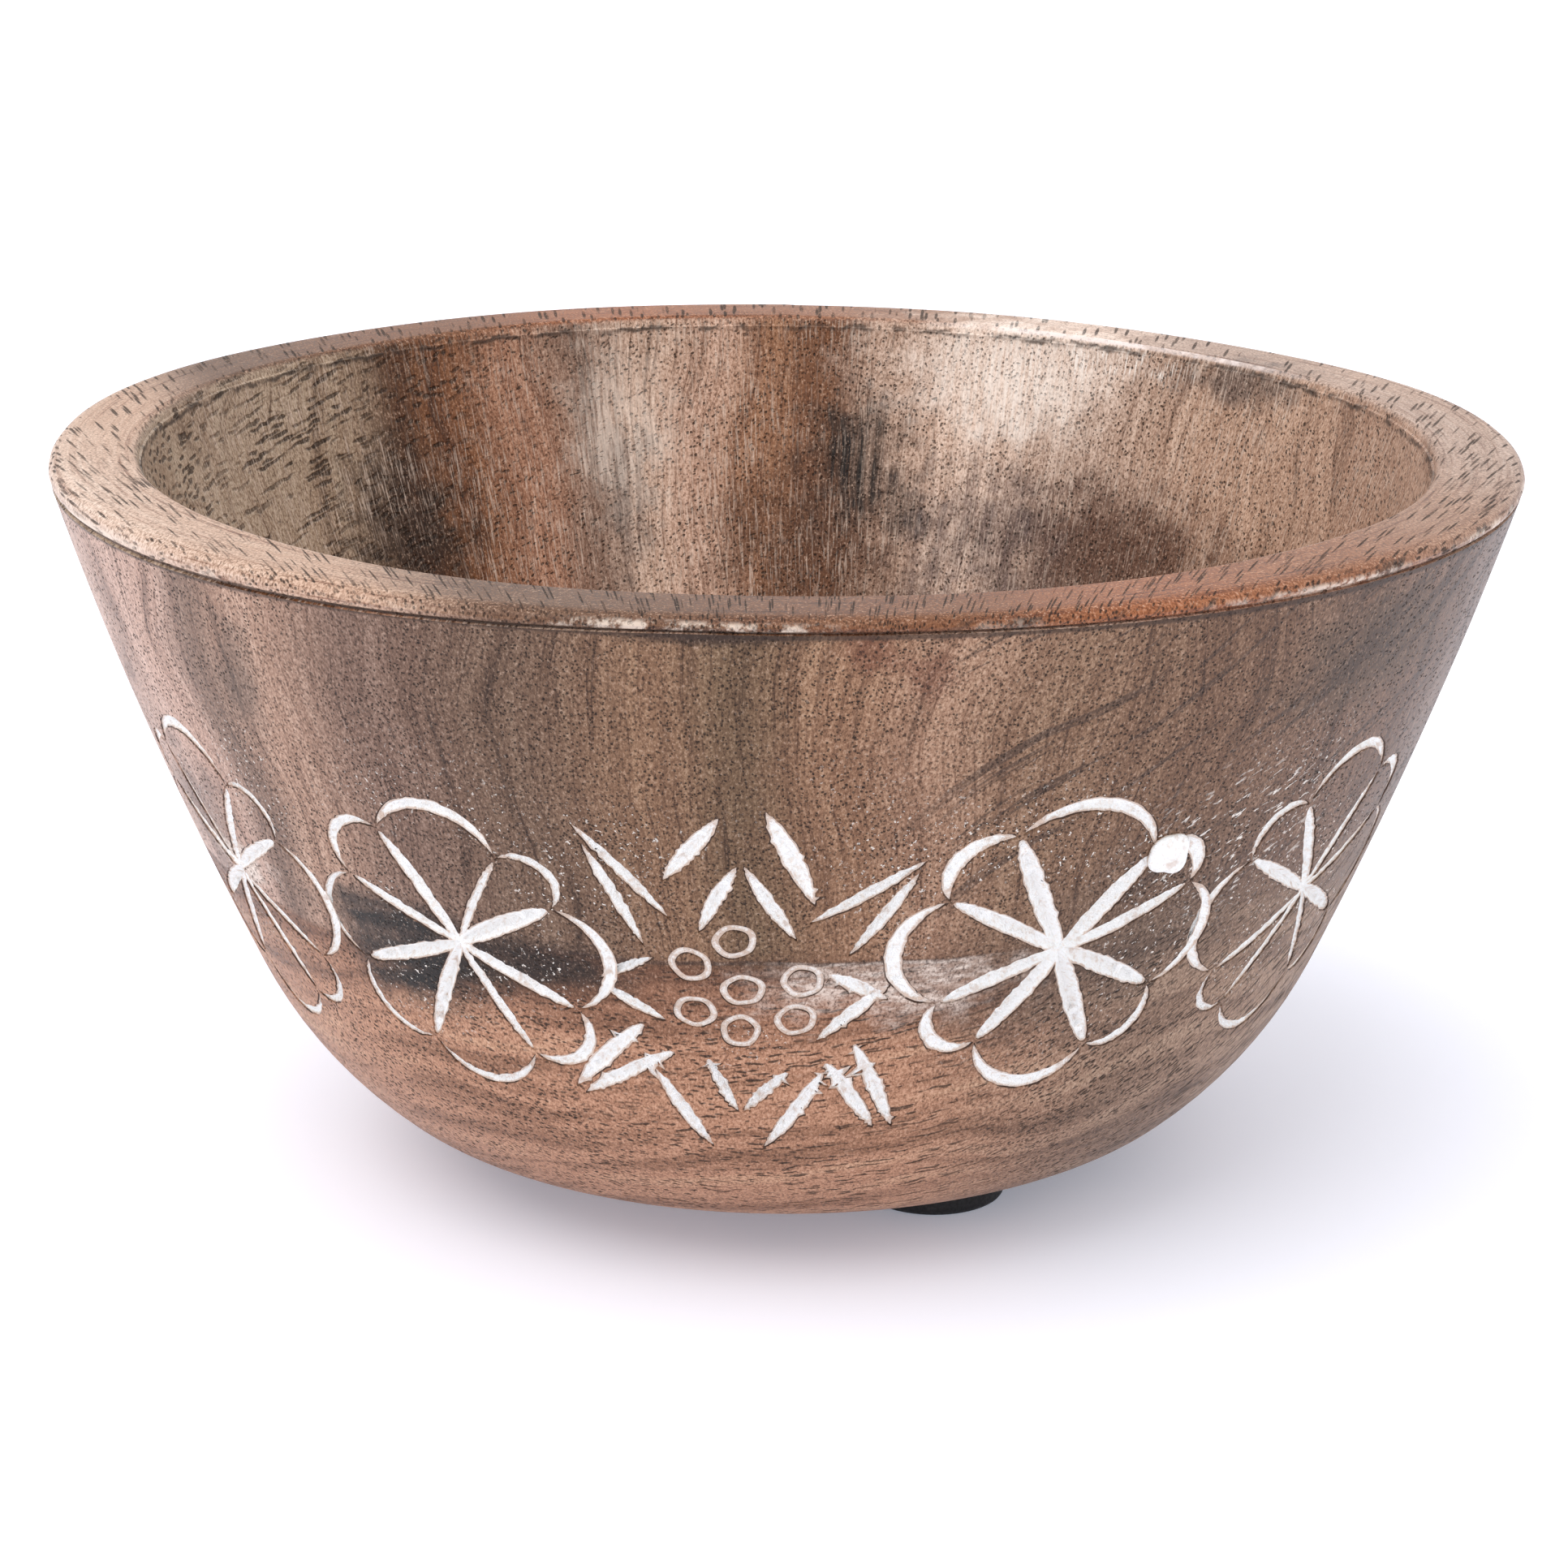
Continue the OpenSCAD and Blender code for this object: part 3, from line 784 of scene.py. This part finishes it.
# pale flecks of painted sparkle, stronger inside
painted_sparkle = mix.times(mix.fade(grainy, 0.55, 0.72), mix.plus(mix.times(inside, 0.25), 0.25))
colour = mix.blend(painted_sparkle, colour, tone(226, 196, 176))
round_the_wall = mix.vector("DIVIDE", mix.vector("MULTIPLY", place, (1, 1, 0)),
                            mix.joined(radius, radius, radius))
scratch_place = mix.vector("ADD", mix.scaled(round_the_wall, 160),
                           mix.vector("MULTIPLY", place, (0.12, 0.12, 0.22)))
scratches = mix.fade(mix.noise(scratch_place, 1.5, 3, 0.65), 0.5, 0.66)
scratches = mix.times(scratches, inside, mix.minus(1, rim))
# painted glints along the scratches
painted_glints = mix.times(scratches, mix.fade(mix.noise(place, 0.09, 3), 0.38, 0.6, 0.25, 1), 0.45)
colour = mix.blend(painted_glints, colour, tone(236, 214, 198))
painted_sheen = mix.times(inside, mix.fade(mix.noise(scratch_place, 0.9, 4, 0.7), 0.38, 0.6, 0.2, 1))
# pale patches of painted sheen on the inside wall, and a bright painted glint along the scratches high
# at the back right
colour = with_stains_and_sheen(colour, [
    (0.6, at(156, 70, 65), (17, 14, 10), (255, 246, 238), 1.4, painted_sheen),
    (0.45, at(-162, 64, 64), (9, 10, 15), (255, 238, 224), 1.6, painted_sheen),
    (1, at(146, 73, 66), (20, 14, 2.6), (250, 240, 232), 1.4, scratches),
])

# inside, a dark line lies under the rim, and the rim's inner edge carries a pale painted highlight
from_top = mix.plus(mix.minus(z, rim_top / mm), mix.times(x, rim_tip))
from_top = mix.plus(from_top, mix.fade(mix.noise(place, 0.4, 3, 0.6), 0.3, 0.7, -0.25, 0.25))
broken = mix.fade(mix.noise(place, 0.3, 3, 0.6), 0.38, 0.58, 0.1, 0.8)
dark_line = mix.times(mix.fade(from_top, -1.9, -1.5), mix.fade(from_top, -1.0, -1.35), inside, broken,
                      mix.fade(radius, 67.9, 67.5))
colour = mix.blend(dark_line, colour, tone(50, 38, 32))
# where the inner edge carries the painted highlight: at the front and at the back right
lit_lip_sides = mix.math("MAXIMUM", mix.fade(y, -30, -55),
                   mix.times(mix.fade(x, 14, 34), mix.fade(y, 32, 46)))
lip_highlight = mix.times(mix.fade(radius, 67.3, 67.5), mix.fade(radius, 68.1, 67.9), lit_lip_sides,
                mix.fade(broken, 0.1, 0.8, 0.5, 1), mix.fade(from_top, -1.6, -1), 0.85)
colour = mix.blend(lip_highlight, colour, tone(230, 216, 212))

# white paint left in the pores beside the carving, and a haze of it right of the burst
by_the_band = mix.times(mix.fade(z, 24, 34), mix.fade(z, 66, 50))
scattered = mix.fade(mix.noise(place, 0.07, 3), 0.46, 0.6)
specks = mix.times(mix.fade(mix.noise(place, 2.3, 2, 0.6), 0.64, 0.68), outside, by_the_band, scattered)
rising = mix.joined(mix.minus(z, mix.times(sideways, 0.55)), mix.times(sideways, 0.45))
dashes = mix.fade(mix.noise(rising, 1.5, 3, 0.65), 0.59, 0.63)
specks = mix.math("MAXIMUM", specks, mix.times(near(at(40, 49, 68), (18, 16, 11), 0.8), dashes))
wiped = mix.noise(mix.vector("MULTIPLY", place, (0.5, 1, 1.6)), 0.7, 4, 0.7)
haze = mix.times(near(at(9, 37.6, 62), (18, 13, 6), 1.6), mix.fade(mix.minus(z, line_height), 0.3, -0.1),
                 mix.fade(grainy, 0.3, 0.6, 0.2, 0.9), mix.fade(wiped, 0.4, 0.62, 0.25, 1))
colour = mix.blend(haze, colour, tone(222, 206, 194))
colour = mix.blend(mix.times(specks, 0.9), colour, tone(236, 228, 220))

# the bead is scuffed pale along its edge, partly wear and partly a painted highlight, above a painted
# shadow line under the bead
scuff_and_highlight = mix.times(mix.fade(mix.noise(place, 0.5, 4, 0.7), 0.45, 0.6),
                  mix.fade(mix.noise(place, 0.05, 1), 0.4, 0.6))
worn_and_lit = mix.plus(near(at(43, 75, 75), (14, 14, 5), 0.6), near(at(-62, 76, 75), (12, 24, 5), 0.6))
worn_and_lit = mix.times(worn_and_lit, mix.fade(mix.noise(place, 0.7, 4, 0.7), 0.4, 0.55))
scuff_and_highlight = mix.math("MAXIMUM", scuff_and_highlight, worn_and_lit)
# a painted shadow under the bead's lower edge
bead_shadow = mix.times(mix.fade(on_rim, -0.55, -0.2), mix.fade(on_rim, 0.45, 0.15), outside,
                       mix.fade(radius, 73, 74), 0.75)
colour = mix.blend(bead_shadow, colour, tone(52, 36, 28))
on_bead = mix.times(mix.fade(on_rim, 0.2, 0.5), mix.fade(on_rim, 1.4, 0.9), mix.fade(radius, 73, 75))
colour = mix.blend(mix.times(scuff_and_highlight, on_bead, 0.7), colour, tone(226, 208, 192))

# the cut edges above the paint are dark in places, partly dirt and partly painted shade
face_depth = depth_under_face(mix, radius, z)
cut_edge_dirt_and_shade = mix.times(mix.fade(face_depth, 0.015, 0.05), outside, mix.fade(z, 60, 56),
                     mix.fade(z, 15, 18), mix.fade(mix.noise(place, 0.6), 0.4, 0.6, 0.2, 1))
colour = mix.blend(cut_edge_dirt_and_shade, colour, tone(66, 46, 36))

height = mix.plus(mix.minus(mix.times(grainy, 0.35), pore), mix.times(scratches, 0.25))
height = mix.plus(height, mix.times(specks, 0.5))
bump = mix.add("Bump", {"Height": height, "Distance": 0.12 * mm, "Strength": 0.9})
rough = mix.plus(mix.times(pore, 0.25), mix.fade(grainy, 0.3, 0.7, 0.36, 0.52))
mix.feed(surface.inputs["Base Color"], colour)
mix.feed(surface.inputs["Roughness"], rough)
mix.feed(surface.inputs["Normal"], bump)
surface.inputs["Specular IOR Level"].default_value = 0.25
bowl.data.materials.clear()
bowl.data.materials.append(wood)


# ---- The white paint ----
# Thin white paint brushed into the cuts and wiped off the face, so it lines each cut in an uneven
# coat and stops at the edge.
coat = 0.14
below_face = 0.16
face_steps = 16
paint_low, paint_high = 12 * mm, 70 * mm

paint, mix, place, surface = new_material("white_paint")
radius = mix.length(mix.vector("MULTIPLY", place, (1, 1, 0)))
depth = depth_under_face(mix, radius, mix.parts(place)[2])
crumbs = mix.noise(place, 1.6, 4, 0.7)
strokes = mix.noise(place, 0.5, 3, 0.6)
near_edge = mix.times(mix.fade(mix.minus(depth, mix.times(crumbs, 0.66)), 0, -0.2),
                      mix.fade(depth, -0.2, 0))
stain = mix.math("MAXIMUM", near_edge, mix.fade(strokes, 0.58, 0.7, 0, 0.6))
colour = mix.stripes(crumbs, [(0.25, (224, 206, 190)), (0.38, (248, 242, 236)), (0.5, (255, 255, 254))])
# deeper in the cut, towards the keel, the paint is greyed as painted shade
colour = mix.blend(mix.fade(depth, 0.6, 1.2, 0, 0.12), colour, tone(214, 200, 188))
colour = mix.blend(mix.times(stain, 0.8), colour, tone(204, 172, 148))
bump = mix.add("Bump", {"Height": mix.plus(crumbs, strokes), "Distance": 0.5 * mm, "Strength": 1})
mix.feed(surface.inputs["Base Color"], colour)
mix.feed(surface.inputs["Roughness"], mix.fade(crumbs, 0.3, 0.7, 0.6, 0.8))
mix.feed(surface.inputs["Normal"], bump)

# the bowl's face once more, a little smaller, to trim the paint to
inset_blank = turn_on_lathe(
    [(0, paint_low), (20 * mm, paint_low)]
    + sweep(belly, corner_lean, belly_lean, face_steps, -below_face * mm)
    + sweep(wall, belly_lean, rim_lean, face_steps, -below_face * mm)[1:]
    + [(0, paint_high)],
    "inset_blank")


def paint_lining(name, node, pieces, raised):
    """What is left between the cuts and the same cuts raised by the coat's thickness."""
    first, *others = pieces
    lining = bpy.data.objects.new(name, first)
    bpy.context.scene.collection.objects.link(lining)
    carve(lining, others, "UNION")
    carve(lining, [inset_blank.copy()], "INTERSECT")
    carve(lining, raised)
    smooth_but_crisp(lining.data, 40)
    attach(lining, "root")
    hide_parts(node)
    lining.data.materials.clear()
    lining.data.materials.append(paint)


# round the bowl in order, each motif's paint gives way to the one before it where the two meet
in_order = sorted(motif_cuts.items(), key=lambda item: item[1][0].turn)
for i, (node, (motif, cuts)) in enumerate(in_order):
    pieces = [cut_piece(node, motif, cut) for cut in cuts]
    raised = [cut_piece(node, motif, cut, coat) for cut in cuts]
    before_motif, before_cuts = in_order[i - 1][1]
    before = [cut_piece("before", before_motif, cut) for cut in before_cuts]
    paint_lining(node.replace("paint", "lining"), node, pieces, raised + before)
for k, motif in enumerate(bursts):
    pieces = [ring_piece("ring", motif, where, 10 * k + i) for i, where in enumerate(ring_spots)]
    raised = [ring_piece("ring", motif, where, 10 * k + i, coat) for i, where in enumerate(ring_spots)]
    leaves = [cut_piece("leaf", motif, cut) for cut in motif_cuts[f"burst_paint_{k + 1}"][1]]
    paint_lining(f"ring_lining_{k + 1}", f"ring_paint_{k + 1}", pieces, raised + leaves)

# one blob of the paint that dried proud on a petal, with a short drip
blob_across, blob_along = 9, 10.2
blob_reach, blob_height = 2.1, 0.62
bm = bmesh.new()
bmesh.ops.create_cube(bm, size=2)
bmesh.ops.bevel(bm, geom=bm.edges[:], affect="EDGES", offset=0.8, segments=6, profile=0.5, material=-1)
bmesh.ops.subdivide_edges(bm, edges=bm.edges[:], cuts=1, use_grid_fill=True)
for v in bm.verts:
    u, w, h = v.co
    lump = 0.08 * math.sin(3 * u + 2 * w) + 0.06 * math.sin(5 * w - 2 * u)
    drip = 1.3 * max(0.0, u - w - 0.9)
    v.co = on_motif(flowers[0], blob_across + blob_reach * u + 0.3 * drip,
                    blob_along + blob_reach * w - 0.9 * drip, 0.1 + h * (blob_height + lump))
blob = bpy.data.objects.new("dried_paint_blob", closed_mesh(bm, "dried_paint_blob"))
bpy.context.scene.collection.objects.link(blob)
smooth_but_crisp(blob.data, 60)
blob.data.materials.append(paint)
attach(blob, "root")
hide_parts("paint_blob")


# ---- The feet ----
# Three black rubber bumpers, moulded with a rounded lower edge and stuck to the base with clear
# adhesive pads.
rubber, mix, place, surface = new_material("black_rubber")
speckle = mix.noise(place, 3, 3, 0.6)
dust = mix.times(mix.fade(mix.noise(place, 0.6, 4, 0.7), 0.5, 0.75), 0.2)
mix.feed(surface.inputs["Base Color"], mix.blend(dust, tone(14, 14, 17), tone(84, 80, 78)))
mix.feed(surface.inputs["Roughness"], mix.fade(speckle, 0.3, 0.7, 0.5, 0.75))
bump = mix.add("Bump", {"Height": speckle, "Distance": 0.05 * mm, "Strength": 0.6})
mix.feed(surface.inputs["Normal"], bump)

glue, mix, place, surface = new_material("adhesive_pad")
bubbles = mix.noise(place, 1.4, 3, 0.6)
colour = mix.stripes(bubbles, [(0.3, (150, 138, 120)), (0.7, (196, 186, 168))])
mix.feed(surface.inputs["Base Color"], colour)
mix.feed(surface.inputs["Roughness"], mix.fade(bubbles, 0.3, 0.7, 0.25, 0.45))
bump = mix.add("Bump", {"Height": bubbles, "Distance": 0.05 * mm, "Strength": 0.5})
mix.feed(surface.inputs["Normal"], bump)

for k in (1, 2, 3):
    for name, finish in ((f"foot_{k}", rubber), (f"foot_adhesive_{k}", glue)):
        for s in frame["nodes"][name].material_slots:
            s.material = finish


# ---- The table and the light ----
# A wide white studio table that glows a little, like a lit sweep, so that the shadow stays pale.
# A wide soft light comes from the upper left, with white all round.
bm = bmesh.new()
bmesh.ops.create_grid(bm, x_segments=1, y_segments=1, size=6)
table_mesh = bpy.data.meshes.new("table")
bm.to_mesh(table_mesh)
bm.free()
table = bpy.data.objects.new("table", table_mesh)
bpy.context.scene.collection.objects.link(table)
white_table = bpy.data.materials.new("white_table")
white_table.use_nodes = True
surface = white_table.node_tree.nodes["Principled BSDF"]
surface.inputs["Base Color"].default_value = (0.87, 0.87, 0.93, 1)
surface.inputs["Emission Color"].default_value = (0.78, 0.84, 1, 1)
surface.inputs["Emission Strength"].default_value = 0.24
surface.inputs["Roughness"].default_value = 0.9
surface.inputs["Specular IOR Level"].default_value = 0.1
table_mesh.materials.append(white_table)

studio = bpy.data.worlds.new("studio")
bpy.context.scene.world = studio
studio.use_nodes = True
mix = Mixing(studio.node_tree)
to_camera = mix.add("LightPath", out="Is Camera Ray")
background = studio.node_tree.nodes["Background"]
mix.feed(background.inputs["Strength"], mix.fade(to_camera, 0, 1, 1.0, 1.2))
background.inputs["Color"].default_value = (1, 1, 1, 1)
bpy.context.scene.view_settings.view_transform = "Standard"

soft_light = bpy.data.lights.new("upper_left", "SUN")
soft_light.angle = math.radians(60)
soft_light.energy = 1.6
light = bpy.data.objects.new("upper_left", soft_light)
light.rotation_euler = Vector((0.35, 0.3, -1)).to_track_quat("-Z", "Y").to_euler()
bpy.context.scene.collection.objects.link(light)


# ---- The camera ----
# A long lens in front of the bowl and a little above its rim, tipped down so that the inside of the
# far wall shows.
camera_data = bpy.data.cameras.new("camera")
camera_data.lens = 102.1
camera_data.sensor_width = 36
camera = bpy.data.objects.new("camera", camera_data)
camera.location = (-0.0003, -0.456, 0.1758)
camera.rotation_euler = (math.radians(90 - 16.79), 0, 0)
bpy.context.scene.collection.objects.link(camera)
bpy.context.scene.camera = camera
